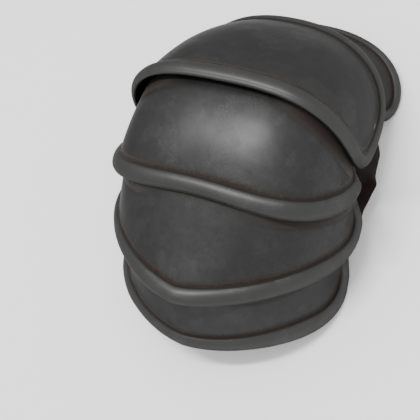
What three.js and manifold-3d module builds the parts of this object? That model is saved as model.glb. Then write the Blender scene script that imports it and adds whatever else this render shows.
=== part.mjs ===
// A pauldron: plate armour for one shoulder, made of five steel lames that overlap like
// scales and are riveted inside to a leather at the front and another at the rear.
// The lames are laid out as the wearer has them (X across the shoulder, -Y outwards, +Z up the
// arm), and the whole is then turned so that it lies on its open side, as it does on a table.
// Lengths are in millimetres and angles in degrees.

import * as THREE from 'three';
import { mergeVertices } from 'three/addons/utils/BufferGeometryUtils.js';
import Module from 'manifold-3d';

const wasm = await Module();
wasm.setup();

// Overall sizes of the shell
const WIDTH = 180; // across the shoulder, which the sections take shares of
const DEPTH = 90; // how far the top lame's arch stands out from its ends
const LENGTH = 100; // of the shell up the arm, which the ends of its sections take shares of

// Plate, rims and clearances
const PLATE = 1.6; // thickness of the steel
const RIM_WIDTH = 11; // of the rolled edge that runs round each lame
const RIM_HEIGHT = 3.4; // how far the rolled edge stands proud
const COLLAR_RIM_WIDTH = 8; // the collar lame's own, narrower edge
const LAME_GAP = 1.5; // between one lame and the next one under it, where they overlap

// Leathers and rivets
const STRAP_WIDTH = 38; // at its middle, where it hangs past the lames' ends
const STRAP_END_WIDTH = 16;
const STRAP_THICKNESS = 2.6;
const STRAP_EDGE = 7; // from the rivets to the leather's edge on the crown's side
const STRAP_END = 9; // from the last rivets to the leather's ends
const STRAP_GAP = 0.6; // between the leather and the nearest steel
const STRAP_FLARE = 0.5; // how fast it leans outwards where it hangs past the lames' ends
const RIVET_INSET = 13.5; // from a lame's end to its rivets, past its rim
const RIVET_DIAMETER = 5;
const RIVET_HEAD_DIAMETER = 10;
const RIVET_HEAD_HEIGHT = 2.4;
const FIT_GAP = 0.3; // round a rivet's shank and under its head

// Finishes
const STEEL = { color: 0x3e3f3d, roughness: 0.5, metalness: 0.85 };
const RIVET_STEEL = { color: 0x4a4946, roughness: 0.45, metalness: 0.9 };
const LEATHER = { color: 0x2a1a14, roughness: 0.75, metalness: 0 };

// One arch across the shoulder for each row. halfWidth is a share of WIDTH, depth, forward and
// sag are shares of DEPTH, and up is a share of LENGTH. forward and up place the arch's two
// ends, lean tips its plane back from level, sag drops its crown, and squareness is the power
// of its superellipse: 2 is an ellipse, more is boxier, less has a keel down the middle.
const SECTION_COLUMNS = ['halfWidth', 'depth', 'lean', 'forward', 'up', 'sag', 'squareness'];
const SECTION_ROWS = {
  collarEdge: [0.454, 0.69, 122, 0.89, 0.39, 0.01, 2.4],
  topNeck: [0.393, 0.63, 92, 0.73, 0.59, 0.08, 2.1],
  topLower: [0.434, 0.93, 69.5, -0.28, 0.42, -0.05, 3.1],
  copLower: [0.469, 1.03, 6, 0.0, 0.31, -0.26, 3.2],
  upperArmLower: [0.504, 1.075, 4, -0.30, 0.0, 0.02, 1.55],
  lowerArmLower: [0.513, 0.90, 8, -0.345, -0.48, 0.05, 1.6],
};

// The lames, each after the one that lies over it. tuck is where its hidden edge lies under that
// one, as a share of the way down it. corner is how square its outline's corners are, taper how
// far its ends are drawn in at the shown edge and nip how far at the hidden one, swell and dome
// how much fuller it is halfway, in shares of WIDTH and DEPTH, fade is where its side rims rise
// to their full height, and broad is how much wider its rim is halfway to each end, as a share.
const LAME_COLUMNS = [
  'over', 'tuck', 'shown', 'corner', 'taper', 'nip', 'swell', 'dome', 'fade', 'broad',
];
const LAME_ROWS = {
  top_lame: [null, 0, 'topLower', 3.2, 0.02, 0, 0.014, 0.105, 0, 0],
  shoulder_cop: ['top_lame', 0.80, 'copLower', 3.6, 0.02, 0.13, -0.014, 0.01, 0.75, 0.1],
  upper_arm_lame: ['shoulder_cop', 0.78, 'upperArmLower', 3.3, -0.06, 0.1, -0.005, -0.05, 0.5, 0.2],
  lower_arm_lame: ['upper_arm_lame', 0.76, 'lowerArmLower', 3.2, -0.11, 0.08, -0.04, 0.05, 0.5, 0.2],
  collar_lame: ['top_lame', 0.16, 'collarEdge', 4.5, 0, 0.05, -0.024, -0.045, 0.5, 0],
};

// The rolled edge, across from the lame's edge inwards: inset in shares of the rim's width and
// rise in shares of its height
const RIM_PROFILE = [
  { inset: 0, rise: 0.35 },
  { inset: 0.1, rise: 0.75 },
  { inset: 0.34, rise: 1 },
  { inset: 0.64, rise: 0.9 },
  { inset: 0.88, rise: 0.4 },
  { inset: 1, rise: 0 },
];

const ARCH_REACH = 88; // degrees from an arch's crown to its end
const COLUMNS = 36; // steps along a lame's shown edge
const FIELD_ROWS = 6; // steps across a lame inside its rim, twice those of its inner face
const OUTLINE_SAMPLES = 240; // fine steps from which the even ones are picked
const MOST_INSET_P = 0.16; // limits of a rim's width in p and q, where an end is narrow
const MOST_INSET_Q = 0.32;
const NIP_REACH = 0.5; // how far down from the hidden edge its corners are drawn in
const RIM_START = 0.06; // where the side rims of a covered lame start to rise
const MITRE = 2; // how sharply a rim's inner line turns its corners
const BULGE_SCALE = 6.75; // brings the most of p squared times (1 - p squared) squared to 1
const PROBE = 0.001; // step used to find directions on a surface
const SHARED_CORNER = 0.002; // corners of a modelled piece nearer than this are one

const { degToRad, lerp, smoothstep } = THREE.MathUtils;
const named = (columns, row) => Object.fromEntries(columns.map((name, i) => [name, row[i]]));

function section(name) {
  const share = named(SECTION_COLUMNS, SECTION_ROWS[name]);
  return {
    halfWidth: share.halfWidth * WIDTH,
    depth: share.depth * DEPTH,
    lean: share.lean,
    forward: share.forward * DEPTH,
    up: share.up * LENGTH,
    sag: share.sag * DEPTH,
    squareness: share.squareness,
  };
}

// The arch a share q of the way from a lame's hidden edge to its shown one
function sectionAt(lame, q) {
  const fuller = 4 * q * (1 - q);
  const arch = {};
  for (const key of SECTION_COLUMNS) arch[key] = lerp(lame.hidden[key], lame.shown[key], q);
  arch.halfWidth += lame.swell * WIDTH * fuller;
  arch.depth += lame.dome * DEPTH * fuller;
  return arch;
}

// A point of a lame's outer face: p runs from -1 to 1 along the arch, q from the hidden edge
function surfacePoint(lame, p, q) {
  const arch = sectionAt(lame, q);
  const turn = degToRad(ARCH_REACH * p);
  const lean = degToRad(arch.lean);
  const across = Math.sin(turn);
  const out = Math.cos(turn);
  const size = Math.abs(across / arch.halfWidth) ** arch.squareness
    + Math.abs(out / arch.depth) ** arch.squareness;
  const radius = size ** (-1 / arch.squareness);
  const reach = radius * out;
  const drop = arch.sag * out * out;
  return new THREE.Vector3(
    radius * across,
    arch.forward - reach * Math.cos(lean) - drop * Math.sin(lean),
    arch.up + reach * Math.sin(lean) - drop * Math.cos(lean),
  );
}

// The directions in which p and q grow, and the outward normal
function surfaceFrame(lame, p, q) {
  const along = surfacePoint(lame, p + PROBE, q).sub(surfacePoint(lame, p - PROBE, q));
  const down = surfacePoint(lame, p, q + PROBE).sub(surfacePoint(lame, p, q - PROBE));
  along.divideScalar(2 * PROBE);
  down.divideScalar(2 * PROBE);
  const normal = new THREE.Vector3().crossVectors(down, along).normalize();
  return { along, down, normal: normal.multiplyScalar(lame.facing) };
}

// The same point, raised along the normal
function raisedPoint(lame, p, q, height) {
  return surfacePoint(lame, p, q).addScaledVector(surfaceFrame(lame, p, q).normal, height);
}

function makeLame(name, lames) {
  const lame = named(LAME_COLUMNS, LAME_ROWS[name]);
  lame.name = name;
  lame.shown = section(lame.shown);
  lame.hidden = section('topNeck');
  lame.closed = lame.over === null;
  if (lame.over) {
    const step = PLATE + LAME_GAP;
    lame.hidden = sectionAt(lames[lame.over], lame.tuck);
    lame.hidden.halfWidth -= step;
    lame.hidden.depth -= step;
  }
  lame.rimWidth = name === 'collar_lame' ? COLLAR_RIM_WIDTH : RIM_WIDTH;
  lame.facing = 1;
  const middle = surfacePoint(lame, 0, 0.5);
  const inside = new THREE.Vector3(0, lame.shown.forward, lame.shown.up);
  if (surfaceFrame(lame, 0, 0.5).normal.dot(middle.sub(inside)) < 0) lame.facing = -1;
  return lame;
}

// The lame's outline in p and q, seen from outside: from its right end down round the shown edge
// to its left end, and for a lame that nothing covers, back round the hidden edge too
function outlinePoint(lame, angle) {
  const c = Math.cos(angle);
  const s = Math.sin(angle);
  const reach = (Math.abs(c) ** lame.corner + Math.abs(s) ** lame.corner) ** (-1 / lame.corner);
  const q = lame.closed ? 0.5 + 0.5 * reach * s : reach * s;
  const nip = lame.nip * (1 - Math.min(q / NIP_REACH, 1)) ** 2;
  return { p: reach * c * (1 - lame.taper * q * q - nip), q };
}

// The outline between two angles in even steps, each with how far the rim's inner line lies from it
function evenOutline(lame, fromAngle, toAngle) {
  const fine = [];
  let length = 0;
  for (let i = 0; i <= OUTLINE_SAMPLES; i++) {
    const angle = lerp(fromAngle, toAngle, i / OUTLINE_SAMPLES);
    const { p, q } = outlinePoint(lame, angle);
    const point = surfacePoint(lame, p, q);
    if (i > 0) length += point.distanceTo(fine[i - 1].point);
    fine.push({ angle, point, length });
  }
  const steps = [];
  let at = 0;
  for (let k = 0; k <= COLUMNS; k++) {
    const wanted = (length * k) / COLUMNS;
    while (at < OUTLINE_SAMPLES - 1 && fine[at + 1].length < wanted) at++;
    const from = fine[at];
    const to = fine[at + 1];
    const share = (wanted - from.length) / (to.length - from.length);
    steps.push(outlineStep(lame, lerp(from.angle, to.angle, share)));
  }
  return steps;
}

// A place on the outline, and how far in p and q the rim's inner line lies from it: square to the
// lower and neck edges, square to the ends, and both ways at the corners between them
function outlineStep(lame, angle) {
  const { p, q } = outlinePoint(lame, angle);
  const c = Math.cos(angle);
  const s = Math.sin(angle);
  const endwise = Math.abs(c) ** (lame.corner - 1);
  const edgewise = Math.abs(s) ** (lame.corner - 1);
  const whole = (endwise ** MITRE + edgewise ** MITRE) ** (1 / MITRE);
  const { along, down } = surfaceFrame(lame, p, q);
  const bulge = BULGE_SCALE * p * p * (1 - p * p) ** 2;
  const width = lame.rimWidth * (1 + lame.broad * bulge);
  const scale = width / whole / along.clone().cross(down).length();
  const mostQ = MOST_INSET_Q * (lame.closed ? 1 : q);
  return {
    p,
    q,
    insetP: -Math.sign(c) * Math.min(endwise * down.length() * scale, MOST_INSET_P),
    insetQ: -Math.sign(s) * Math.min(edgewise * along.length() * scale, mostQ),
  };
}

// Grid of points, row by row from the outline inwards. A lame that another covers ends in a
// straight hidden edge. The top lame's field joins its lower rim to its neck rim.
function lameRows(lame) {
  const halves = [evenOutline(lame, 0, Math.PI)];
  if (lame.closed) halves.push(evenOutline(lame, 2 * Math.PI, Math.PI));
  const insetBy = (step, inset) => ({
    p: step.p + step.insetP * inset,
    q: Math.max(step.q + step.insetQ * inset, 0),
  });
  const sides = halves.map((steps) => {
    const ends = steps.map((step) => insetBy(step, 1));
    const rims = RIM_PROFILE.map(({ inset, rise }) => steps.map((step) => {
      const risen = lame.closed ? 1 : smoothstep(step.q, RIM_START, lame.fade);
      return { ...insetBy(step, inset), height: rise * RIM_HEIGHT * risen };
    }));
    return { ends, rims };
  });
  const { ends } = sides[0];
  const far = ends.map((end, k) => (lame.closed
    ? sides[1].ends[k]
    : { p: lerp(ends[0].p, ends[COLUMNS].p, k / COLUMNS), q: 0 }));
  const field = [];
  for (let row = 1; row <= FIELD_ROWS; row++) {
    const share = row / FIELD_ROWS;
    field.push(ends.map((end, k) => ({
      p: lerp(end.p, far[k].p, share),
      q: lerp(end.q, far[k].q, share),
      height: 0,
    })));
  }
  const rows = [...sides[0].rims, ...field];
  if (lame.closed) rows.push(...sides[1].rims.slice(0, -1).reverse());
  return rows;
}

// One closed shell: the outer face with its rolled edge, and the plain inner face under it
function lameGeometry(lame) {
  const rows = lameRows(lame);
  const rim = RIM_PROFILE.length;
  const plain = rows.filter((row, r) => {
    if (r < rim) return r === 0 || r === rim - 1;
    if (r < rim + FIELD_ROWS - 1) return (r - rim) % 2 === 1;
    return r === rim + FIELD_ROWS - 1 || r === rows.length - 1;
  });
  const outer = rows.map((row) => row.map((at) => raisedPoint(lame, at.p, at.q, at.height)));
  const inner = plain.map((row) => row.map((at) => raisedPoint(lame, at.p, at.q, -PLATE)));
  const { positions, index } = wrappedGrid([...outer, ...inner.reverse()]);
  const width = outer[0].length;
  const last = outer.length + inner.length - 1;
  for (let r = 0; !lame.closed && r < last - 1; r++) {
    index.push(last * width, r * width, (r + 1) * width);
    index.push((last + 1) * width - 1, (r + 2) * width - 1, (r + 1) * width - 1);
  }
  return merged(positions, index);
}

const quad = (a, b, c, d) => [a, b, c, a, c, d];

// A skin from rows of points, each joined to the next and the last to the first
function wrappedGrid(grid) {
  const positions = grid.flat().flatMap((point) => [point.x, point.y, point.z]);
  const width = grid[0].length;
  const index = [];
  for (let r = 0; r < grid.length; r++) {
    const next = (r + 1) % grid.length;
    for (let k = 0; k < width - 1; k++) {
      const corners = [r * width + k, r * width + k + 1, next * width + k + 1, next * width + k];
      index.push(...quad(...corners));
    }
  }
  return { positions, index };
}

// The triangles as one mesh with shared corners, without slivers and with its faces outwards
function merged(positions, index) {
  const raw = new THREE.BufferGeometry();
  raw.setAttribute('position', new THREE.Float32BufferAttribute(positions, 3));
  raw.setIndex(index);
  const geometry = mergeVertices(raw, SHARED_CORNER);
  const points = geometry.attributes.position;
  const corner = (at) => new THREE.Vector3().fromBufferAttribute(points, at);
  const faces = [];
  let volume = 0;
  for (let i = 0; i < index.length; i += 3) {
    const [a, b, c] = geometry.index.array.slice(i, i + 3);
    if (a === b || b === c || c === a) continue;
    faces.push([a, b, c]);
    volume += corner(a).dot(corner(b).cross(corner(c)));
  }
  geometry.setIndex(faces.flatMap(([a, b, c]) => (volume > 0 ? [a, b, c] : [a, c, b])));
  return geometry;
}

// Where a lame is riveted to the leathers: just inside its rim, a share q down from its hidden
// edge, in the order in which the leather runs from the neck to the arm
const RIVET_ROWS = [
  { lame: 'collar_lame', q: 0.12 },
  { lame: 'top_lame', q: 0.42 },
  { lame: 'shoulder_cop', q: 0.48 },
  { lame: 'upper_arm_lame', q: 0.36 },
  { lame: 'lower_arm_lame', q: 0.22 },
];
const STRAP_STEPS = 22; // along a leather
const STRAP_COLUMNS = 5; // across it
const NECK_WIDENING = 0.2; // share of a leather's length over which its neck end widens
const ARM_WIDENING = 0.45; // and over which its arm end does
const STRAP_EVENING = 0.2; // share of its length, each way, over which its direction is evened
const EVENING_PASSES = 5; // how often its bends in and out are evened
const ROOM_REACH = 3.5; // how near a leather's point a lame bears on it
const ROOM_STEPS = 24; // samples of a lame each way, where the leathers pass
const RIVET_SIDES = 10;
const DOME_STEPS = 2; // rings of a rivet's head
const HOLE_LENGTH = 40; // long enough to pass a lame and its leather
const WELD = 0.0005; // corners of a cut piece nearer than this are one
const TURN_STEP = 0.5; // degrees between the leans tried for rest
const ROOM_FROM_P = 0.7; // the leathers pass only beyond this share of an arch

// The places of one side's rivets, each with its lame, and its p for the right side
function rivetSeats(lames) {
  return RIVET_ROWS.map(({ lame: name, q }) => {
    const lame = lames[name];
    const p = 1 - RIVET_INSET / surfaceFrame(lame, 1, q).along.length();
    return { name, lame, p, q, point: surfacePoint(lame, p, q) };
  });
}

// Points of the lames' inner faces near their right ends
function innerSamples(lames) {
  return Object.values(lames).map((lame) => {
    const points = [];
    for (let i = 0; i <= ROOM_STEPS; i++) {
      for (let j = 0; j <= ROOM_STEPS; j++) {
        const p = lerp(ROOM_FROM_P, 1, i / ROOM_STEPS);
        points.push(raisedPoint(lame, p, j / ROOM_STEPS, -PLATE));
      }
    }
    return points;
  });
}

// How far from the middle a leather may lie at one place of the side view: inside every lame
// that passes there, or leaning outwards from the nearest one where none does
function roomAt(samples, y, z) {
  let room = Infinity;
  let nearest = { distance: Infinity, x: 0 };
  for (const points of samples) {
    for (const point of points) {
      const distance = Math.hypot(point.y - y, point.z - z);
      if (distance < ROOM_REACH) room = Math.min(room, point.x);
      if (distance < nearest.distance) nearest = { distance, x: point.x };
    }
  }
  return Number.isFinite(room) ? room : nearest.x + STRAP_FLARE * (nearest.distance - ROOM_REACH);
}

// Each value as the mean of itself and its neighbours, or less where it was less
function evened(values) {
  return values.map((row, r) => row.map((value, c) => {
    const around = [value];
    for (const [dr, dc] of [[-1, 0], [1, 0], [0, -1], [0, 1]]) {
      const other = values[r + dr]?.[c + dc];
      if (other !== undefined) around.push(other);
    }
    return Math.min(value, around.reduce((sum, v) => sum + v, 0) / around.length);
  }));
}

// The point where a leather ends, past its last rivet on the side away from the next one
function overrun(last, next) {
  return last.clone().addScaledVector(last.clone().sub(next).normalize(), STRAP_END);
}

// The front leather: a band along the rivets that hangs past the lames' ends
function leatherGeometry(seats, samples) {
  const line = seats.map(({ point }) => new THREE.Vector3(0, point.y, point.z));
  line.unshift(overrun(line[0], line[1]));
  line.push(overrun(line.at(-1), line.at(-2)));
  const curve = new THREE.CatmullRomCurve3(line, false, 'centripetal');
  const places = [];
  for (let i = 0; i <= STRAP_STEPS; i++) {
    const along = i / STRAP_STEPS;
    const middle = curve.getPointAt(along);
    const behind = curve.getPointAt(Math.max(along - STRAP_EVENING, 0));
    const ahead = curve.getPointAt(Math.min(along + STRAP_EVENING, 1));
    const tangent = ahead.sub(behind).normalize();
    const beyond = new THREE.Vector3(0, -tangent.z, tangent.y);
    const fromNeck = smoothstep(along, 0, NECK_WIDENING);
    const fromArm = smoothstep(1 - along, 0, ARM_WIDENING);
    const hang = lerp(STRAP_END_WIDTH, STRAP_WIDTH, Math.min(fromNeck, fromArm));
    const row = [];
    for (let k = 0; k <= STRAP_COLUMNS; k++) {
      const offset = lerp(-STRAP_EDGE, hang - STRAP_EDGE, k / STRAP_COLUMNS);
      row.push(middle.clone().addScaledVector(beyond, offset));
    }
    places.push(row);
  }
  let rooms = places.map((row) => row.map(({ y, z }) => roomAt(samples, y, z)));
  for (let pass = 0; pass < EVENING_PASSES; pass++) rooms = evened(rooms);
  const face = (depth) => places.map((row, r) => row.map(({ y, z }, k) => (
    new THREE.Vector3(rooms[r][k] - STRAP_GAP - depth, y, z))));
  const { positions, index } = wrappedGrid([...face(0), ...face(STRAP_THICKNESS).reverse()]);
  const width = STRAP_COLUMNS + 1;
  for (let r = 0; r < STRAP_STEPS; r++) {
    const mate = 2 * STRAP_STEPS + 1 - r;
    const corners = [r, r + 1, mate - 1, mate].map((row) => row * width);
    index.push(...quad(...corners));
    index.push(...quad(...corners.map((corner) => corner + width - 1).reverse()));
  }
  return merged(positions, index);
}

// A cylinder along a rivet, from its outer end inwards
function alongRivet(seat, geometry) {
  const { normal } = surfaceFrame(seat.lame, seat.p, seat.q);
  const turn = new THREE.Quaternion().setFromUnitVectors(new THREE.Vector3(0, 1, 0), normal);
  return geometry.applyQuaternion(turn).translate(...seat.point.toArray());
}

function holeGeometry(seat) {
  const radius = RIVET_DIAMETER / 2 + FIT_GAP;
  return alongRivet(seat, new THREE.CylinderGeometry(radius, radius, HOLE_LENGTH, RIVET_SIDES));
}

// How deep under a lame's outer face its leather's inner face lies, anywhere under a rivet's head
function leatherDepth(seat, leather) {
  const { normal } = surfaceFrame(seat.lame, seat.p, seat.q);
  const inward = normal.clone().negate();
  const side = new THREE.Vector3(0, 1, 0).cross(normal).normalize();
  const mesh = new THREE.Mesh(leather, new THREE.MeshBasicMaterial({ side: THREE.DoubleSide }));
  let depth = 0;
  for (let i = 0; i < RIVET_SIDES; i++) {
    const spoke = side.clone().applyAxisAngle(normal, (2 * Math.PI * i) / RIVET_SIDES);
    const from = seat.point.clone().addScaledVector(spoke, RIVET_HEAD_DIAMETER / 2);
    const hits = new THREE.Raycaster(from, inward).intersectObject(mesh);
    if (hits.length) depth = Math.max(depth, hits.at(-1).distance);
  }
  return depth;
}

// A rivet: its shank flush with the lame's outer face, its domed head inside on the leather
function rivetGeometry(seat, leather) {
  const under = -leatherDepth(seat, leather) - FIT_GAP;
  const shank = RIVET_DIAMETER / 2;
  const head = RIVET_HEAD_DIAMETER / 2;
  const profile = [new THREE.Vector2(0, under - RIVET_HEAD_HEIGHT)];
  for (let i = 1; i <= DOME_STEPS; i++) {
    const turn = (Math.PI / 2) * (i / DOME_STEPS);
    profile.push(new THREE.Vector2(head * Math.sin(turn), under - RIVET_HEAD_HEIGHT * Math.cos(turn)));
  }
  profile.push(new THREE.Vector2(shank, under), new THREE.Vector2(shank, 0), new THREE.Vector2(0, 0));
  return alongRivet(seat, new THREE.LatheGeometry(profile, RIVET_SIDES));
}

function trianglesOf(geometry) {
  return [Array.from(geometry.attributes.position.array), Array.from(geometry.index.array)];
}

function solidOf(geometry) {
  const bare = new THREE.BufferGeometry();
  bare.setAttribute('position', geometry.attributes.position);
  bare.setIndex(geometry.index);
  const whole = mergeVertices(bare, WELD);
  return new wasm.Manifold(new wasm.Mesh({
    numProp: 3,
    vertProperties: new Float32Array(whole.attributes.position.array),
    triVerts: new Uint32Array(whole.index.array),
  }));
}

function drilled(geometry, holes) {
  let solid = solidOf(geometry);
  for (const hole of holes) solid = solid.subtract(solidOf(hole));
  const { vertProperties, triVerts } = solid.getMesh();
  const cut = new THREE.BufferGeometry();
  cut.setAttribute('position', new THREE.BufferAttribute(vertProperties, 3));
  cut.setIndex(new THREE.BufferAttribute(triVerts, 1));
  return cut;
}

// The same piece on the other side of the middle
function mirrored(geometry) {
  const copy = geometry.clone().scale(-1, 1, 1);
  const { array } = copy.index;
  for (let i = 0; i < array.length; i += 3) [array[i], array[i + 1]] = [array[i + 1], array[i]];
  return copy;
}

// The turn about X with which the shell lies on its open side: of the lines that touch it there
// in the side view, the one that its weight falls between
function restingTurn(geometries) {
  const points = [];
  const centre = new THREE.Vector3();
  let weight = 0;
  for (const geometry of geometries) {
    const corners = geometry.attributes.position;
    const index = geometry.index.array;
    for (let i = 0; i < corners.count; i++) points.push([corners.getY(i), corners.getZ(i)]);
    for (let i = 0; i < index.length; i += 3) {
      const [a, b, c] = [0, 1, 2].map((k) => (
        new THREE.Vector3().fromBufferAttribute(corners, index[i + k])));
      const volume = a.dot(b.clone().cross(c));
      weight += volume;
      centre.addScaledVector(a.add(b).add(c), volume / 4);
    }
  }
  centre.divideScalar(weight);
  let rear = null;
  for (let lean = 0; lean < 90; lean += TURN_STEP) {
    const down = [Math.sin(degToRad(lean)), -Math.cos(degToRad(lean))];
    const depths = points.map(([y, z]) => y * down[0] + z * down[1]);
    const lowest = points[depths.indexOf(Math.max(...depths))];
    const ahead = (lowest[0] - centre.y) * -down[1] + (lowest[1] - centre.z) * down[0];
    if (rear && ahead > 0) return -Math.atan2(lowest[1] - rear[1], lowest[0] - rear[0]);
    rear = lowest;
  }
  return 0;
}

const shell = new THREE.Group();
function addPiece(name, geometry, finish) {
  const mesh = new THREE.Mesh(geometry, new THREE.MeshStandardMaterial(finish));
  mesh.name = name;
  shell.add(mesh);
}

const lames = {};
for (const name of Object.keys(LAME_ROWS)) lames[name] = makeLame(name, lames);
const seats = rivetSeats(lames);
const holes = seats.map(holeGeometry);
const bothHoles = seats.map((seat, i) => [holes[i], mirrored(holes[i])]);

for (const lame of Object.values(lames)) {
  const own = seats.findIndex((seat) => seat.lame === lame);
  addPiece(lame.name, drilled(lameGeometry(lame), bothHoles[own]), STEEL);
}
const plainLeather = leatherGeometry(seats, innerSamples(lames));
const leather = drilled(plainLeather, holes);
addPiece('front_leather', leather, LEATHER);
addPiece('rear_leather', mirrored(leather), LEATHER);
for (const seat of seats) {
  const rivet = merged(...trianglesOf(rivetGeometry(seat, plainLeather)));
  const kind = seat.name.replace(/_lame$/, '');
  addPiece(`front_${kind}_rivet`, rivet, RIVET_STEEL);
  addPiece(`rear_${kind}_rivet`, mirrored(rivet), RIVET_STEEL);
}

// Laid on its open side, with the middle of its footprint at the origin
shell.rotation.x = restingTurn(shell.children.map((piece) => piece.geometry));
const extent = new THREE.Box3().setFromObject(shell, true);
const middle = extent.getCenter(new THREE.Vector3());
shell.position.set(-middle.x, -middle.y, -extent.min.z);
const pauldron = new THREE.Group();
pauldron.add(shell);

export default pauldron;
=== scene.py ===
# A blackened steel pauldron: five overlapping lames with rolled edges, riveted inside to two
# leathers. Each lame is raised here as a smooth, slightly uneven plate on its solid's sections.
# Lengths are in millimetres, and turned into metres when a mesh is made. Angles are in degrees.

import math

import bmesh
import bpy
import numpy as np
from mathutils import Matrix, Vector, noise


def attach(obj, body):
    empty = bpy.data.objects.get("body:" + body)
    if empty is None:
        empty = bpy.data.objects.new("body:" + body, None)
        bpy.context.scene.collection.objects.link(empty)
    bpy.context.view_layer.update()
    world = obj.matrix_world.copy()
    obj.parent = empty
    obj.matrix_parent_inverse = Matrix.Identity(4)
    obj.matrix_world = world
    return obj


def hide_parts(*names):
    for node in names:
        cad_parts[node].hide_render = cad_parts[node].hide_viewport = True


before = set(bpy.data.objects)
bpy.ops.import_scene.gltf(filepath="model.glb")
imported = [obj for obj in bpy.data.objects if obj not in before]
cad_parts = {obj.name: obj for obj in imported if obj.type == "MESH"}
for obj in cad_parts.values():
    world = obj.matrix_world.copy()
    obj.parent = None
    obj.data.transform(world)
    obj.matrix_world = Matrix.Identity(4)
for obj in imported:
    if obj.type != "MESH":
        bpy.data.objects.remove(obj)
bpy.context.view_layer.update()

MM = 0.001

# Overall sizes of the shell
WIDTH = 180.0
DEPTH = 90.0
LENGTH = 100.0

# Plate, rims and clearances
PLATE = 1.6
RIM_WIDTH = 11.0
RIM_HEIGHT = 3.4
COLLAR_RIM_WIDTH = 8.0
LAME_GAP = 1.5

# Leathers and rivets
STRAP_WIDTH = 38.0
STRAP_END_WIDTH = 16.0
STRAP_THICKNESS = 2.6
STRAP_EDGE = 7.0
STRAP_END = 9.0
STRAP_GAP = 0.6
STRAP_FLARE = 0.5
RIVET_INSET = 13.5
RIVET_DIAMETER = 5.0
RIVET_HEAD_DIAMETER = 10.0
RIVET_HEAD_HEIGHT = 2.4

# How the shell, laid out as it is worn, is turned and moved to lie on its open side
REST_TURN = -35.334
REST_SHIFT = (0.0, -14.755, 2.112)

# One arch across the shoulder for each row, as shares of the sizes given for its columns. It stands
# out by its depth on a plane that leans, from a middle that lies forward and up, and sags most
# where it stands out most.
SECTION_COLUMNS = {
    "half_width": WIDTH,
    "depth": DEPTH,
    "lean": 1,
    "forward": DEPTH,
    "up": LENGTH,
    "sag": DEPTH,
    "squareness": 1,
}
SECTION_ROWS = {
    "collar_edge": (0.454, 0.69, 122, 0.89, 0.39, 0.01, 2.4),
    "top_neck": (0.393, 0.63, 92, 0.73, 0.59, 0.08, 2.1),
    "top_lower": (0.434, 0.93, 69.5, -0.28, 0.42, -0.05, 3.1),
    "cop_lower": (0.469, 1.03, 6, 0.0, 0.31, -0.26, 3.2),
    "upper_arm_lower": (0.504, 1.075, 4, -0.30, 0.0, 0.02, 1.55),
    "lower_arm_lower": (0.513, 0.90, 8, -0.345, -0.48, 0.05, 1.6),
}

# The lames, each after the one that lies over it. A lame starts at the tuck of that one, as a q.
# Its outline's corners are as square as corner says, and its ends draw in by taper at the shown
# edge and by nip at the hidden one. It bulges by swell and dome, shares of WIDTH and DEPTH. Its rim
# has risen in full at the q in fade, and grows wider by broad between its middle and its ends.
LAME_COLUMNS = (
    "over", "tuck", "shown", "corner", "taper", "nip", "swell", "dome", "fade", "broad",
)
LAME_ROWS = {
    "top_lame": (None, 0, "top_lower", 3.2, 0.02, 0, 0.014, 0.105, 0, 0),
    "shoulder_cop": ("top_lame", 0.80, "cop_lower", 3.6, 0.02, 0.13, -0.014, 0.01, 0.75, 0.1),
    "upper_arm_lame": (
        "shoulder_cop", 0.78, "upper_arm_lower", 3.3, -0.06, 0.1, -0.005, -0.05, 0.5, 0.2,
    ),
    "lower_arm_lame": (
        "upper_arm_lame", 0.76, "lower_arm_lower", 3.2, -0.11, 0.08, -0.04, 0.05, 0.5, 0.2,
    ),
    "collar_lame": ("top_lame", 0.16, "collar_edge", 4.5, 0, 0.05, -0.024, -0.045, 0.5, 0),
}

ARCH_REACH = 88  # degrees that an arch runs to each side of its middle
NIP_REACH = 0.5  # share of a lame over which its hidden ends draw in
RIM_START = 0.06  # share of the way down a lame's ends where its rim starts to rise
MOST_INSET_P = 0.16  # most that the rim's inner line lies in from the outline, in p and q
MOST_INSET_Q = 0.32
MITRE = 2  # how evenly the rim's inner line goes round a corner
BULGE_SCALE = 6.75  # brings p^2 (1 - p^2)^2 to 1 at its greatest
PROBE = 0.001  # step in p and q over which slopes are taken

# Fineness of the meshes
COLUMNS = 300  # along a lame's shown edge
OUTLINE_SAMPLES = 3000
RIM_STEPS = 18  # across a rolled edge
FIELD_STEPS = 56  # across a lame inside its rim
INNER_STEPS = 12  # across its inner face

# The rolled edge in section
RIM_CREST = 0.4  # where it is highest, as a share of its width
RIM_OUTER_REACH = 0.43  # radius of its outer side, as the same share
RIM_FLATNESS = 2.6  # how flat its top is
RIM_INNER_FALL = 0.8  # how steeply its inner side falls
ROLL_STEPS = 5  # round the turned-under edge
ROLL_OUT = 0.9  # how far the turned-under edge swells outwards, in mm
TINY = 1e-12
FAR = 99.0  # a mark's value where nothing is near
BLOCK = 50  # points of a line measured at a time
SAME_PLACE = 1e-7  # in metres: corners nearer than this are joined

# The smith's unevenness: low dents in the plate, in mm
DENT_SIZE = 26.0
DENT_DEPTH = 0.32
RIPPLE_SIZE = 9.0
RIPPLE_DEPTH = 0.07
SEED_STEPS = (71.3, 37.7, 13.1)  # from one plate's noise to the next one's


def smoothstep(value, low, high):
    share = np.clip((value - low) / (high - low), 0, 1)
    return share * share * (3 - 2 * share)


def unit(vector):
    return vector / np.linalg.norm(vector)


def section(name):
    sizes = SECTION_COLUMNS.values()
    return np.array([share * size for share, size in zip(SECTION_ROWS[name], sizes)])


def section_at(lame, q):
    """The arch a share q of the way from a lame's hidden edge to its shown one."""
    q = np.asarray(q, float)[..., None]
    fuller = 4 * q * (1 - q)
    swelling = np.array([lame["swell"] * WIDTH, lame["dome"] * DEPTH, 0, 0, 0, 0, 0])
    return lame["hidden"] + (lame["shown_arch"] - lame["hidden"]) * q + swelling * fuller


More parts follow.
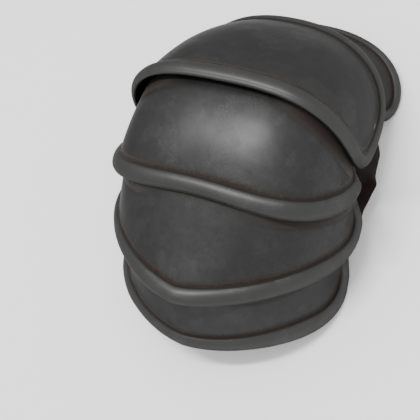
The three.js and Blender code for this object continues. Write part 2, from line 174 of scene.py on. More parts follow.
def surface_point(lame, p, q):
    """A point of a lame's outer face: p runs from -1 to 1 along the arch, q from the hidden edge."""
    arch = section_at(lame, q)
    half_width, depth, lean, forward, up, sag, squareness = np.moveaxis(arch, -1, 0)
    turn = np.radians(ARCH_REACH * np.asarray(p, float))
    across, out = np.sin(turn), np.cos(turn)
    size = np.abs(across / half_width) ** squareness + np.abs(out / depth) ** squareness
    radius = size ** (-1 / squareness)
    reach = radius * out
    drop = sag * out * out
    lean = np.radians(lean)
    return np.stack([
        radius * across,
        forward - reach * np.cos(lean) - drop * np.sin(lean),
        up + reach * np.sin(lean) - drop * np.cos(lean),
    ], -1)


def surface_frame(lame, p, q):
    """The directions in which p and q grow, and the outward normal."""
    along = surface_point(lame, p + PROBE, q) - surface_point(lame, p - PROBE, q)
    down = surface_point(lame, p, q + PROBE) - surface_point(lame, p, q - PROBE)
    normal = np.cross(down, along)
    normal *= lame["facing"] / np.linalg.norm(normal, axis=-1, keepdims=True)
    return along / (2 * PROBE), down / (2 * PROBE), normal


def make_lame(name, lames):
    """A lame's values, with its arches at the hidden and the shown edge."""
    lame = dict(zip(LAME_COLUMNS, LAME_ROWS[name]))
    lame["shown_arch"] = section(lame["shown"])
    lame["hidden"] = section("top_neck")
    lame["closed"] = lame["over"] is None
    if lame["over"]:
        lame["hidden"] = section_at(lames[lame["over"]], lame["tuck"]).copy()
        lame["hidden"][:2] -= PLATE + LAME_GAP
    lame["rim_width"] = COLLAR_RIM_WIDTH if name == "collar_lame" else RIM_WIDTH
    lame["facing"] = 1
    middle = surface_point(lame, np.array(0.0), np.array(0.5))
    arch = dict(zip(SECTION_COLUMNS, lame["shown_arch"]))
    inside = np.array([0, arch["forward"], arch["up"]])
    normal = surface_frame(lame, np.array(0.0), np.array(0.5))[2]
    if np.dot(normal, middle - inside) < 0:
        lame["facing"] = -1
    return lame


def outline_point(lame, angle):
    """The outline in p and q: from the right end down round the shown edge to the left end."""
    c, s = np.cos(angle), np.sin(angle)
    reach = (np.abs(c) ** lame["corner"] + np.abs(s) ** lame["corner"]) ** (-1 / lame["corner"])
    q = 0.5 + 0.5 * reach * s if lame["closed"] else reach * s
    nip = lame["nip"] * (1 - np.minimum(q / NIP_REACH, 1)) ** 2
    return reach * c * (1 - lame["taper"] * q * q - nip), q


def even_outline(lame, from_angle, to_angle):
    """The outline in even steps, each with the way to the rim's inner line."""
    fine = np.linspace(from_angle, to_angle, OUTLINE_SAMPLES + 1)
    points = surface_point(lame, *outline_point(lame, fine))
    steps = np.linalg.norm(np.diff(points, axis=0), axis=1)
    length = np.concatenate([[0], np.cumsum(steps)])
    angle = np.interp(np.linspace(0, length[-1], COLUMNS + 1), length, fine)
    p, q = outline_point(lame, angle)
    along, down, _ = surface_frame(lame, p, q)
    c, s = np.cos(angle), np.sin(angle)
    endwise = np.abs(c) ** (lame["corner"] - 1)
    edgewise = np.abs(s) ** (lame["corner"] - 1)
    whole = (endwise ** MITRE + edgewise ** MITRE) ** (1 / MITRE)
    bulge = BULGE_SCALE * p * p * (1 - p * p) ** 2
    width = lame["rim_width"] * (1 + lame["broad"] * bulge)
    scale = width / whole / np.linalg.norm(np.cross(along, down), axis=1)
    inset_p = endwise * np.linalg.norm(down, axis=1) * scale
    inset_q = edgewise * np.linalg.norm(along, axis=1) * scale
    most_q = MOST_INSET_Q * (1 if lame["closed"] else q)
    return {
        "p": p,
        "q": q,
        "inset_p": -np.sign(c) * np.minimum(inset_p, MOST_INSET_P),
        "inset_q": -np.sign(s) * np.minimum(inset_q, most_q),
    }


def rim_rise(inset):
    """Height of the rolled edge across it, as a share of its full height."""
    outer = np.sqrt(np.maximum(1 - ((RIM_CREST - inset) / RIM_OUTER_REACH) ** 2, 0))
    fall = np.maximum((inset - RIM_CREST) / (1 - RIM_CREST), 0) ** RIM_FLATNESS
    inner = np.maximum(1 - fall, 0) ** RIM_INNER_FALL
    return np.where(inset < RIM_CREST, outer, inner)


def rim_share(lame, steps):
    """How far the rim has risen to its full height along an outline."""
    if lame["closed"]:
        return np.ones(COLUMNS + 1)
    return smoothstep(steps["q"], RIM_START, lame["fade"])


def unevenness(points, seed):
    """Low dents and ripples over a plate, in mm."""
    offset = Vector([seed * step for step in SEED_STEPS])
    heights = np.empty(len(points))
    for i, point in enumerate(points):
        at = Vector(point)
        heights[i] = DENT_DEPTH * noise.noise(at / DENT_SIZE + offset)
        heights[i] += RIPPLE_DEPTH * noise.noise(at / RIPPLE_SIZE + offset)
    return heights


def at_rest(points):
    """Points of the worn layout, in mm, turned to lie on the open side, in metres."""
    turn = math.radians(REST_TURN)
    c, s = math.cos(turn), math.sin(turn)
    x, y, z = np.moveaxis(np.asarray(points, float), -1, 0)
    turned = np.stack([x, c * y - s * z, s * y + c * z], -1)
    return (turned + np.array(REST_SHIFT)) * MM


def turned(direction):
    """A direction of the worn layout, turned as the shell is."""
    return (at_rest(direction) - at_rest(np.zeros(3))) / MM


def grid_faces(rows, columns, wrap):
    """Quads of a grid, its last row joined to its first one if it wraps."""
    r = np.arange(rows if wrap else rows - 1)[:, None]
    k = np.arange(columns - 1)[None, :]
    following = (r + 1) % rows
    quads = np.stack([
        r * columns + k,
        r * columns + k + 1,
        following * columns + k + 1,
        following * columns + k,
    ], -1)
    return quads.reshape(-1, 4).tolist()


def volume_of(points, quads):
    """Six times the volume inside the quads, above nought if they face outwards."""
    a, b, c, d = np.moveaxis(points[np.array(quads)], 1, 0)
    return (a * (np.cross(b, c) + np.cross(c, d))).sum()


def add_mesh(name, points, faces, marks=None):
    """A mesh object with its faces outwards, and one named value a corner for each of marks."""
    if volume_of(points, [face for face in faces if len(face) == 4]) < 0:
        faces = [face[::-1] for face in faces]
    mesh = bpy.data.meshes.new(name)
    mesh.from_pydata(points.tolist(), [], faces)
    for mark, values in (marks or {}).items():
        layer = mesh.attributes.new(mark, "FLOAT", "POINT")
        layer.data.foreach_set("value", np.asarray(values, np.float32))
    mesh.polygons.foreach_set("use_smooth", [True] * len(faces))
    mesh.update()
    piece = bpy.data.objects.new(name, mesh)
    bpy.context.scene.collection.objects.link(piece)
    return piece


def stitched(piece):
    """Joins corners that meet, and clears what that leaves behind."""
    work = bmesh.new()
    work.from_mesh(piece.data)
    bmesh.ops.remove_doubles(work, verts=work.verts, dist=SAME_PLACE)
    bmesh.ops.dissolve_degenerate(work, edges=work.edges, dist=SAME_PLACE / 10)
    work.to_mesh(piece.data)
    work.free()
    return piece


def lame_grid(lame):
    """Rows of the outer face across the lame, each as p, q and rim height, and its outlines."""
    halves = [even_outline(lame, 0, math.pi)]
    if lame["closed"]:
        halves.append(even_outline(lame, 2 * math.pi, math.pi))
    rims = []
    for steps in halves:
        risen = rim_share(lame, steps)
        rows = []
        for inset in np.linspace(0, 1, RIM_STEPS + 1):
            p = steps["p"] + steps["inset_p"] * inset
            q = np.maximum(steps["q"] + steps["inset_q"] * inset, 0)
            rows.append((p, q, RIM_HEIGHT * rim_rise(inset) * risen))
        rims.append(rows)
    end_p, end_q, _ = rims[0][-1]
    if lame["closed"]:
        far_p, far_q, _ = rims[1][-1]
    else:
        far_p = np.linspace(end_p[0], end_p[-1], COLUMNS + 1)
        far_q = np.zeros(COLUMNS + 1)
    field = []
    for row in range(1, FIELD_STEPS + 1):
        share = row / FIELD_STEPS
        flat = np.zeros(COLUMNS + 1)
        field.append((end_p + (far_p - end_p) * share, end_q + (far_q - end_q) * share, flat))
    rows = rims[0] + field
    if lame["closed"]:
        rows += rims[1][-2::-1]
    return rows, halves


def raised(lame, row, extra=0.0):
    """A row's points, raised off the lame's surface by the row's height and an extra one."""
    p, q, height = row
    _, _, normal = surface_frame(lame, p, q)
    return surface_point(lame, p, q) + normal * (height + extra)[..., None]


def rolled_edge(lame, steps, risen, top, bottom):
    """Rows round the turned-under edge, from the outer face's outline to the inner face's."""
    p, q = steps["p"], steps["q"]
    inner = surface_point(lame, p + steps["inset_p"] * PROBE, q + steps["inset_q"] * PROBE)
    outward = surface_point(lame, p, q) - inner
    outward /= np.maximum(np.linalg.norm(outward, axis=1, keepdims=True), TINY)
    rows = []
    for i in range(1, ROLL_STEPS):
        turn = math.pi * i / ROLL_STEPS
        share = 0.5 - 0.5 * math.cos(turn)
        swell = ROLL_OUT * math.sin(turn) * risen
        rows.append(top + (bottom - top) * share + outward * swell[:, None])
    return rows


def nearest(points, line):
    """Distance of each point to the nearest point of a line of points."""
    best = np.full(len(points), np.inf)
    for block in np.array_split(line, max(1, len(line) // BLOCK)):
        gap = np.linalg.norm(points[:, None, :] - block[None, :, :], axis=2).min(1)
        best = np.minimum(best, gap)
    return best


def make_plate(name, lame, seed, cover_edge):
    """One lame: its outer face with the rolled edge, the edge turned under, and its inner face.

    Its marks are from_line, the way in mm to the rim's inner line, negative on the rim; risen, how
    far the rim there stands up; inside, 1 on the inner face; and from_cover, the way in mm to the
    edge of the lame that lies over it.
    """
    rows, halves = lame_grid(lame)
    columns = COLUMNS + 1
    flat = np.concatenate([raised(lame, row) for row in rows])
    normals = np.concatenate([surface_frame(lame, row[0], row[1])[2] for row in rows])
    flat = flat + normals * unevenness(flat, seed)[:, None]
    outer = np.split(flat, len(rows))
    level = np.zeros(columns)
    picks = np.unique(np.linspace(0, len(rows) - 1, INNER_STEPS + 1).round().astype(int))
    inner = [raised(lame, (rows[r][0], rows[r][1], level), -PLATE) for r in picks]
    risen = [rim_share(lame, half) for half in halves]
    grid = outer[:]
    if lame["closed"]:
        grid += rolled_edge(lame, halves[1], risen[1], outer[-1], inner[-1])
    grid += inner[::-1]
    grid += rolled_edge(lame, halves[0], risen[0], outer[0], inner[0])[::-1]
    points = np.concatenate(grid)
    faces = grid_faces(len(grid), columns, True)
    if not lame["closed"]:
        faces.append([r * columns for r in range(len(grid))])
        faces.append([r * columns + columns - 1 for r in reversed(range(len(grid)))])

    line = surface_point(lame, rows[RIM_STEPS][0], rows[RIM_STEPS][1])
    rim_rows = set(range(RIM_STEPS)) | set(range(len(outer) + INNER_STEPS, len(grid)))
    if lame["closed"]:
        far = RIM_STEPS + FIELD_STEPS
        line = np.concatenate([line, surface_point(lame, rows[far][0], rows[far][1])])
        rim_rows |= set(range(far + 1, len(rows)))
    on_rim = np.repeat([r in rim_rows for r in range(len(grid))], columns)
    from_line = nearest(points, line)
    inside = np.zeros(len(points))
    first_inner = len(grid) - len(inner) - (ROLL_STEPS - 1)
    inside[first_inner * columns:(first_inner + len(inner)) * columns] = 1
    marks = {
        "from_line": np.where(on_rim, -from_line, from_line),
        "risen": np.tile(risen[0], len(grid)),
        "inside": inside,
        "from_cover": np.full(len(points), FAR),
    }
    if cover_edge is not None:
        marks["from_cover"] = nearest(points, cover_edge)
    lying = at_rest(points)
    lying[:, 2] = np.maximum(lying[:, 2], 0)  # worn flat where it stands on the floor
    return stitched(add_mesh(name, lying, faces, marks)), inner[0]


# Leathers

# Each lame, and the q at which its ends are riveted
RIVET_ROWS = (
    ("collar_lame", 0.12),
    ("top_lame", 0.42),
    ("shoulder_cop", 0.48),
    ("upper_arm_lame", 0.36),
    ("lower_arm_lame", 0.22),
)
STRAP_STEPS = 110  # along a leather
STRAP_COLUMNS = 24  # across it
SPAN_STEPS = 40  # from one rivet to the next
NECK_WIDENING = 0.2  # share of a leather over which it widens from its neck end
ARM_WIDENING = 0.45  # and from its arm end
STRAP_EVENING = 0.2  # share of a leather each way over which its direction is evened
ROOM_REACH = 3.5  # how near a lame passes to press on a leather, in mm
ROOM_FROM_P = 0.7
ROOM_STEPS = 60
EVENING_PASSES = 60
EDGE_ROUND = 0.9  # radius of a leather's worn edge
EDGE_STEPS = 4  # round it


def rivet_seats(lames):
    """Where each lame's right-hand rivet goes through its outer face, and that face's normal."""
    seats = []
    for name, q in RIVET_ROWS:
        lame = lames[name]
        q = np.array(q)
        along = surface_frame(lame, np.array(1.0), q)[0]
        p = np.array(1 - RIVET_INSET / np.linalg.norm(along))
        seats.append({
            "name": name,
            "point": surface_point(lame, p, q),
            "normal": surface_frame(lame, p, q)[2],
        })
    return seats


def hermite_span(before, start, end, after, t):
    """A point a share t of the way from start to end on the smooth curve through the four."""
    spans = (start - before, end - start, after - end)
    reach = [math.sqrt(np.linalg.norm(span)) for span in spans]
    first = (start - before) / reach[0] - (end - before) / (reach[0] + reach[1])
    first = (first + (end - start) / reach[1]) * reach[1]
    last = (end - start) / reach[1] - (after - start) / (reach[1] + reach[2])
    last = (last + (after - end) / reach[2]) * reach[1]
    t2, t3 = t * t, t * t * t
    return (start * (2 * t3 - 3 * t2 + 1) + first * (t3 - 2 * t2 + t)
            + end * (3 * t2 - 2 * t3) + last * (t3 - t2))


def strap_line(seats):
    """Even points along a leather in the side view, from its neck end to its arm end."""
    points = [seat["point"][1:] for seat in seats]
    first = points[0] + STRAP_END * unit(points[0] - points[1])
    last = points[-1] + STRAP_END * unit(points[-1] - points[-2])
    points = np.array([first, *points, last])
    padded = [2 * points[0] - points[1], *points, 2 * points[-1] - points[-2]]
    curve = []
    for i in range(len(points) - 1):
        shares = np.arange(SPAN_STEPS) / SPAN_STEPS
        curve += [hermite_span(*padded[i:i + 4], share) for share in shares]
    curve.append(points[-1])
    curve = np.array(curve)
    length = np.concatenate([[0], np.cumsum(np.linalg.norm(np.diff(curve, axis=0), axis=1))])
    wanted = np.linspace(0, length[-1], STRAP_STEPS + 1)
    return np.stack([np.interp(wanted, length, curve[:, i]) for i in range(2)], 1)


def inner_samples(lames):
    """Points of the lames' inner faces near their right ends, a block for each lame."""
    p, q = np.meshgrid(np.linspace(ROOM_FROM_P, 1, ROOM_STEPS), np.linspace(0, 1, ROOM_STEPS))
    level = np.zeros(p.shape)
    return [raised(lame, (p, q, level), -PLATE).reshape(-1, 3) for lame in lames.values()]


def room_at(samples, places):
    """How far from the middle a leather may lie at each place of the side view."""
    room = np.full(len(places), np.inf)
    nearest_gap = np.full(len(places), np.inf)
    nearest_x = np.zeros(len(places))
    for points in samples:
        gap = np.linalg.norm(places[:, None, :] - points[None, :, 1:], axis=2)
        room = np.minimum(room, np.where(gap < ROOM_REACH, points[:, 0], np.inf).min(1))
        closest = gap.argmin(1)
        least = gap[np.arange(len(places)), closest]
        nearest_x = np.where(least < nearest_gap, points[closest, 0], nearest_x)
        nearest_gap = np.minimum(nearest_gap, least)
    return np.where(np.isfinite(room), room, nearest_x + STRAP_FLARE * (nearest_gap - ROOM_REACH))


def evened(values):
    """Each value as the mean of itself and its neighbours, or less where it was less."""
    padded = np.pad(values, 1, mode="edge")
    around = padded[:-2, 1:-1] + padded[2:, 1:-1] + padded[1:-1, :-2] + padded[1:-1, 2:]
    return np.minimum(values, (values + around) / 5)


def edge_shares(steps, edge):
    """Shares from 0 to 1 with fine steps within edge of both ends."""
    fine = edge * (1 - np.cos(np.linspace(0, math.pi / 2, EDGE_STEPS + 1)))
    return np.concatenate([fine[:-1], np.linspace(edge, 1 - edge, steps), 1 - fine[:-1][::-1]])


def split_corners(quads, on_edge):
    """The quads, those with three corners on the edge cut in two from their inner corner."""
    faces = []
    for quad in quads:
        inner = [k for k in range(4) if not on_edge[quad[k]]]
        if len(inner) == 1:
            a, b, c, d = quad[inner[0]:] + quad[:inner[0]]
            faces += [[a, b, c], [a, c, d]]
        else:
            faces.append(quad)
    return faces


def make_leather(name, seats, samples, side):
    """A leather: a band along the rivets that lies against the lames, with worn, rounded edges.

    Its mark from_edge is the way in mm to its nearest edge.
    """
    line = strap_line(seats)
    length = np.linalg.norm(np.diff(line, axis=0), axis=1).sum()
    along = edge_shares(STRAP_STEPS, EDGE_ROUND / length)
    across = edge_shares(STRAP_COLUMNS, EDGE_ROUND / STRAP_WIDTH)
    spots = np.linspace(0, 1, len(line))
    middle = np.stack([np.interp(along, spots, line[:, i]) for i in range(2)], 1)
    ahead = np.stack([np.interp(along + STRAP_EVENING, spots, line[:, i]) for i in range(2)], 1)
    behind = np.stack([np.interp(along - STRAP_EVENING, spots, line[:, i]) for i in range(2)], 1)
    tangent = ahead - behind
    tangent /= np.linalg.norm(tangent, axis=1, keepdims=True)
    beyond = np.stack([-tangent[:, 1], tangent[:, 0]], 1)
    from_end = np.minimum(along, 1 - along)
    wide = np.minimum(smoothstep(along, 0, NECK_WIDENING), smoothstep(1 - along, 0, ARM_WIDENING))
    hang = STRAP_END_WIDTH + (STRAP_WIDTH - STRAP_END_WIDTH) * wide
    offset = -STRAP_EDGE + hang[:, None] * across[None, :]
    places = middle[:, None, :] + beyond[:, None, :] * offset[:, :, None]
    room = room_at(samples, places.reshape(-1, 2)).reshape(offset.shape)
    for _ in range(EVENING_PASSES):
        room = evened(room)
    from_side = np.minimum(across, 1 - across)[None, :] * hang[:, None]
    from_edge = np.minimum(from_side, (from_end * length)[:, None])
    into = np.clip(from_edge / EDGE_ROUND, 0, 1)
    half = STRAP_THICKNESS / 2 * np.sqrt(1 - (1 - into) ** 2)
    core = room - STRAP_GAP - STRAP_THICKNESS / 2
    sheets = [np.concatenate([(core + way * half)[..., None], places], 2) for way in (1, -1)]
    rows, columns = core.shape
    points = np.concatenate([sheets[0].reshape(-1, 3), sheets[1].reshape(-1, 3)])
    points[:, 0] *= side
    quads = np.array(grid_faces(rows, columns, False))
    faces = quads.tolist() + (quads[:, ::-1] + rows * columns).tolist()
    faces = split_corners(faces, np.tile(from_edge.ravel() <= 0, 2))
    marks = {"from_edge": np.tile(from_edge.ravel(), 2)}
    return stitched(add_mesh(name, at_rest(points), faces, marks))


# Rivets

RIVET_SIDES = 48
DOME_STEPS = 8
FLUSH_PROUD = 0.05  # of the filed outer end over the plate
FLUSH_ROUND = 0.25  # of its edge
HAMMER_SIZE = 2.2
HAMMER_DEPTH = 0.22
RIVET_SEED_STEP = 3  # keeps the front rivets' noise from the rear ones'


def make_rivet(name, seat, side, seed):
    """A rivet: filed flush outside, with a hammered dome inside on the leather."""
    flip = np.array([side, 1, 1])
    point, normal = seat["point"] * flip, seat["normal"] * flip
    corners = np.array([corner.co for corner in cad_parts[name].data.vertices])
    tip = ((corners - at_rest(point)) @ turned(normal)).min() / MM
    under = tip + RIVET_HEAD_HEIGHT
    head, shank = RIVET_HEAD_DIAMETER / 2, RIVET_DIAMETER / 2
    profile = [(0.0, tip)]
    for i in range(1, DOME_STEPS + 1):
        turn = math.pi / 2 * i / DOME_STEPS
        profile.append((head * math.sin(turn), under - RIVET_HEAD_HEIGHT * math.cos(turn)))
    profile += [
        (head - FLUSH_ROUND, under + FLUSH_ROUND),
        (shank, under + FLUSH_ROUND),
        (shank, FLUSH_PROUD - FLUSH_ROUND),
        (shank - FLUSH_ROUND / 3, FLUSH_PROUD - FLUSH_ROUND / 3),
        (shank - FLUSH_ROUND, FLUSH_PROUD),
        (0.0, FLUSH_PROUD),
    ]
    first = unit(np.cross(normal, [0.0, 0.0, 1.0]))
    second = np.cross(normal, first)
    rows = []
    for radius, height in profile:
        ring = []
        for k in range(RIVET_SIDES + 1):
            turn = 2 * math.pi * k / RIVET_SIDES
            spoke = first * math.cos(turn) + second * math.sin(turn)
            at = spoke * radius
            dent = noise.noise(Vector(at / HAMMER_SIZE) + Vector((seed, seed, 0)))
            low = height + HAMMER_DEPTH * dent if height < under else height
            ring.append(point + at + normal * low)
        rows.append(ring)
    points = np.array(rows).reshape(-1, 3)
    faces = grid_faces(len(rows), RIVET_SIDES + 1, False)
    return stitched(add_mesh(name + "_smooth", at_rest(points), faces))


# Finishes. A noise is given by its size in mm, detail and roughness, and reaches and depths of bump
# are in mm. Tones are the two values that a range starts from, and the two it leads to if given.

def new_material(name):
    material = bpy.data.materials.new(name)
    material.use_nodes = True
    tree = material.node_tree
    tree.nodes.clear()
    output = tree.nodes.new("ShaderNodeOutputMaterial")
    shader = tree.nodes.new("ShaderNodeBsdfPrincipled")
    tree.links.new(shader.outputs["BSDF"], output.inputs["Surface"])
    return material, tree, shader


def feed(tree, socket, value):
    """Links a node's output to a socket, or sets the socket to a plain value."""
    if isinstance(value, bpy.types.NodeSocket):
        tree.links.new(value, socket)
    else:
        socket.default_value = value


def maths(tree, operation, *values):
    node = tree.nodes.new("ShaderNodeMath")
    node.operation = operation
    for socket, value in zip(node.inputs, values):
        feed(tree, socket, value)
    return node.outputs[0]


def plus(tree, first, second):
    return maths(tree, "ADD", first, second)


def minus(tree, first, second):
    return maths(tree, "SUBTRACT", first, second)


def times(tree, first, second):
    return maths(tree, "MULTIPLY", first, second)


def greater(tree, first, second):
    return maths(tree, "MAXIMUM", first, second)


def weighed(tree, *parts):
    """The sum of values, each times its weight."""
    total = times(tree, *parts[0])
    for value, weight in parts[1:]:
        total = plus(tree, total, times(tree, value, weight))
    return total


def ranged(tree, value, low, high, to_low=0.0, to_high=1.0):
    """A value taken smoothly from one range to another, held at its ends."""
    node = tree.nodes.new("ShaderNodeMapRange")
    node.interpolation_type = "SMOOTHSTEP"
    for socket, given in zip(node.inputs, (value, low, high, to_low, to_high)):
        feed(tree, socket, given)
    return node.outputs[0]


def mixed(tree, share, first, second):
    """One colour taken towards another by a share."""
    node = tree.nodes.new("ShaderNodeMix")
    node.data_type = "RGBA"
    feed(tree, node.inputs["Factor"], share)
    feed(tree, node.inputs[6], first)
    feed(tree, node.inputs[7], second)
    return node.outputs[2]


def cloud(tree, size, detail, roughness, stretch=(1, 1, 1), turn=(0, 0, 0)):
    """Noise over the object itself, about 0.5 on the whole."""
    place = tree.nodes.new("ShaderNodeTexCoord")
    mapping = tree.nodes.new("ShaderNodeMapping")
    mapping.inputs["Rotation"].default_value = [math.radians(angle) for angle in turn]
    mapping.inputs["Scale"].default_value = stretch
    texture = tree.nodes.new("ShaderNodeTexNoise")
    texture.inputs["Scale"].default_value = 1 / (size * MM)
    texture.inputs["Detail"].default_value = detail
    texture.inputs["Roughness"].default_value = roughness
    tree.links.new(place.outputs["Object"], mapping.inputs["Vector"])
    tree.links.new(mapping.outputs["Vector"], texture.inputs["Vector"])
    return texture.outputs["Fac"]


def frayed(tree, noise_values, reach):
    """Noise about nought, reach wide in all, that frays the edge of whatever it is added to."""
    return times(tree, minus(tree, cloud(tree, *noise_values), 0.5), reach)


def fine_lines(tree, noise_value, width):
    """1 on the lines where a noise is 0.5, fading to 0 within a width of it."""
    return ranged(tree, maths(tree, "ABSOLUTE", minus(tree, noise_value, 0.5)), 0.0, width, 1, 0)


def mark(tree, name):
    node = tree.nodes.new("ShaderNodeAttribute")
    node.attribute_name = name
    return node.outputs["Fac"]


def towards_sides(tree, low, high):
    """From 0 to 1 between two distances in mm from the middle of the pauldron."""
    place = tree.nodes.new("ShaderNodeTexCoord")
    parts = tree.nodes.new("ShaderNodeSeparateXYZ")
    tree.links.new(place.outputs["Object"], parts.inputs["Vector"])
    return ranged(tree, maths(tree, "ABSOLUTE", parts.outputs["X"]), low * MM, high * MM)


def bumped(tree, shader, height, depth):
    node = tree.nodes.new("ShaderNodeBump")
    node.inputs["Distance"].default_value = depth * MM
    feed(tree, node.inputs["Height"], height)
    tree.links.new(node.outputs["Normal"], shader.inputs["Normal"])


def grey(level, red=1.0, green=1.0, blue=1.0):
    return (level * red, level * green, level * blue, 1.0)


# Blackened steel

PLATE_DARK = grey(0.034, 0.99, 1.015, 0.99)
PLATE_PALE = grey(0.044, 0.99, 1.015, 0.99)
RIM_PALE = grey(0.056, 1.0, 1.01, 0.985)
SCRATCH_PALE = grey(0.16)
DIRT_DARK = (0.013, 0.0095, 0.0077, 1.0)
# The brown of the dirt, also painted as shade under the lames' edges
DIRT_AND_SHADE_BROWN = (0.021, 0.0152, 0.0121, 1.0)
INSIDE_DARK = (0.030, 0.028, 0.025, 1.0)

BROAD_NOISE = (45, 5, 0.6)
MOTTLE_NOISE = (5, 6, 0.7)
FINE_NOISE = (0.9, 3, 0.7)
PLATE_TONES = (0.36, 0.64)
RUBBED_TONES = (0.3, 0.7, 0.75, 1.0)
INSIDE_TONES = (0.35, 0.65)

RUBBED_REACH = (-1.2, -3.5)  # from_line over which a rim grows rubbed
ROOT_REACH = (-1.8, -0.7)  # from_line over which dirt starts, on the rim's inner side
HALO_REACH = (2.2, 4.2)  # from_line over which its brown ends
CORE_REACH = (0.4, 2.0)  # from_line over which its dark middle ends
DIRT_AND_SHADE_REACH = (1.5, 4.5)  # from_cover over which the brown dirt and painted shade under a lame's edge end
SIDE_DIRT_AND_SHADE_REACH = (6.0, 11.0)  # the same brown dirt and painted shade, reaching further towards the pauldron's sides
DIRT_AND_SHADE_SIDES = (20, 52)  # from the middle of the pauldron
# Noise that frays the edges of the brown dirt and of the painted shade
DIRT_AND_SHADE_NOISE = (2.0, 6, 0.9)
DIRT_AND_SHADE_FRAY = 9.0
PATCH_NOISE = (22, 3, 0.6)
PATCH_TONES = (0.38, 0.6, 0.7, 1.0)
HALO_SHARE = 0.85
CORE_SHARE = 0.9

SCRATCH_DETAIL = 2
SCRATCH_STRETCH = (1, 1, 30)
SCRATCH_WIDTH = 0.02
SCRATCH_SPACING = 9  # between scratched places, in sizes of a scratch
SCRATCH_FADE = 0.06
SCRATCH_SHARE = 0.35
SCRATCH_COLUMNS = ("size", "turn", "rarity")
SCRATCH_ROWS = (
    (2.6, (20, 35, 10), 0.56),
    (3.4, (70, -20, 60), 0.6),
    (2.0, (-40, 80, 25), 0.6),
)

STEEL_ROUGHNESS = 0.35
STEEL_METALLIC = 0.85
DIRT_METALLIC = 0.1
METALLIC_TONES = (0.2, 0.9, STEEL_METALLIC, DIRT_METALLIC)
STEEL_SPECULAR = 0.3
STEEL_SPECULAR_TINT = grey(0.4)
STEEL_BUMP = 0.10


def scratches(tree, size, turn, rarity):
    """Fine, broken lines that all run one way: 1 on a scratch."""
    line_noise = cloud(tree, size, SCRATCH_DETAIL, 0.6, stretch=SCRATCH_STRETCH, turn=turn)
    place_noise = cloud(tree, size * SCRATCH_SPACING, SCRATCH_DETAIL, 0.5, turn=turn)
    here = ranged(tree, place_noise, rarity, rarity + SCRATCH_FADE)
    return times(tree, fine_lines(tree, line_noise, SCRATCH_WIDTH), here)


def dirt(tree, from_line, risen, outside):
    """Dirt and painted shade outside: brown dirt along the rims' roots, brown dirt with painted
    shade under the lames' edges, and the dark middle of the root dirt.
    """
    fray = frayed(tree, DIRT_AND_SHADE_NOISE, DIRT_AND_SHADE_FRAY)
    spread = plus(tree, from_line, fray)
    root = times(tree, ranged(tree, from_line, *ROOT_REACH), risen)
    core = times(tree, ranged(tree, spread, *CORE_REACH, 1, 0), root)
    halo = times(tree, ranged(tree, spread, *HALO_REACH, 1, 0), root)
    halo = times(tree, halo, ranged(tree, cloud(tree, *PATCH_NOISE), *PATCH_TONES))

    # Painted shade with brown dirt: a darker brown band on a lame just under the edge of the lame
    # lying over it, wider towards the pauldron's sides
    cover = plus(tree, mark(tree, "from_cover"), fray)
    dirt_and_shade_under_edge = ranged(tree, cover, *DIRT_AND_SHADE_REACH, 1, 0)
    dirt_and_shade_at_sides = ranged(tree, cover, *SIDE_DIRT_AND_SHADE_REACH, 1, 0)
    dirt_and_shade_at_sides = times(tree, dirt_and_shade_at_sides, towards_sides(tree, *DIRT_AND_SHADE_SIDES))
    # From here the brown halo holds both the root dirt and this painted shade
    halo = greater(tree, halo, greater(tree, dirt_and_shade_under_edge, dirt_and_shade_at_sides))
    return times(tree, halo, outside), times(tree, core, outside)


def blackened_steel():
    """Oil-blackened plate, rubbed paler on the rolled edges, with brown dirt along their roots."""
    material, tree, shader = new_material("blackened_steel_finish")
    from_line = mark(tree, "from_line")
    risen = mark(tree, "risen")
    inside = mark(tree, "inside")
    outside = minus(tree, 1.0, inside)

    broad = cloud(tree, *BROAD_NOISE)
    mottle = cloud(tree, *MOTTLE_NOISE)
    fine = cloud(tree, *FINE_NOISE)
    tone = weighed(tree, (broad, 0.4), (mottle, 0.35), (fine, 0.25))
    steel = mixed(tree, ranged(tree, tone, *PLATE_TONES), PLATE_DARK, PLATE_PALE)

    crest = times(tree, ranged(tree, from_line, *RUBBED_REACH), risen)
    rubbed = times(tree, crest, ranged(tree, tone, *RUBBED_TONES))
    steel = mixed(tree, rubbed, steel, RIM_PALE)

    marks = scratches(tree, **dict(zip(SCRATCH_COLUMNS, SCRATCH_ROWS[0])))
    for row in SCRATCH_ROWS[1:]:
        marks = greater(tree, marks, scratches(tree, **dict(zip(SCRATCH_COLUMNS, row))))
    marks = times(tree, marks, outside)
    steel = mixed(tree, times(tree, marks, SCRATCH_SHARE), steel, SCRATCH_PALE)

    halo, core = dirt(tree, from_line, risen, outside)
    # Brown over the root dirt, and as painted shade under the lames' edges
    dirty_and_shaded = mixed(tree, times(tree, halo, HALO_SHARE), steel, DIRT_AND_SHADE_BROWN)
    dirty_and_shaded = mixed(tree, times(tree, core, CORE_SHARE), dirty_and_shaded, DIRT_DARK)
    bare = mixed(tree, ranged(tree, tone, *INSIDE_TONES), INSIDE_DARK, DIRT_AND_SHADE_BROWN)
    tree.links.new(mixed(tree, inside, dirty_and_shaded, bare), shader.inputs["Base Color"])

    dull = greater(tree, halo, inside)
    rough = weighed(tree, (mottle, 0.16), (rubbed, 0.06), (dull, 0.3), (marks, -0.08))
    tree.links.new(plus(tree, rough, STEEL_ROUGHNESS), shader.inputs["Roughness"])
    metal = ranged(tree, greater(tree, halo, core), *METALLIC_TONES)
    tree.links.new(metal, shader.inputs["Metallic"])
    shader.inputs["Specular IOR Level"].default_value = STEEL_SPECULAR
    shader.inputs["Specular Tint"].default_value = STEEL_SPECULAR_TINT
    height = weighed(tree, (mottle, 0.5), (fine, 0.25), (marks, -0.15), (core, -0.4))
    bumped(tree, shader, height, STEEL_BUMP)
    return material


# Rivet steel

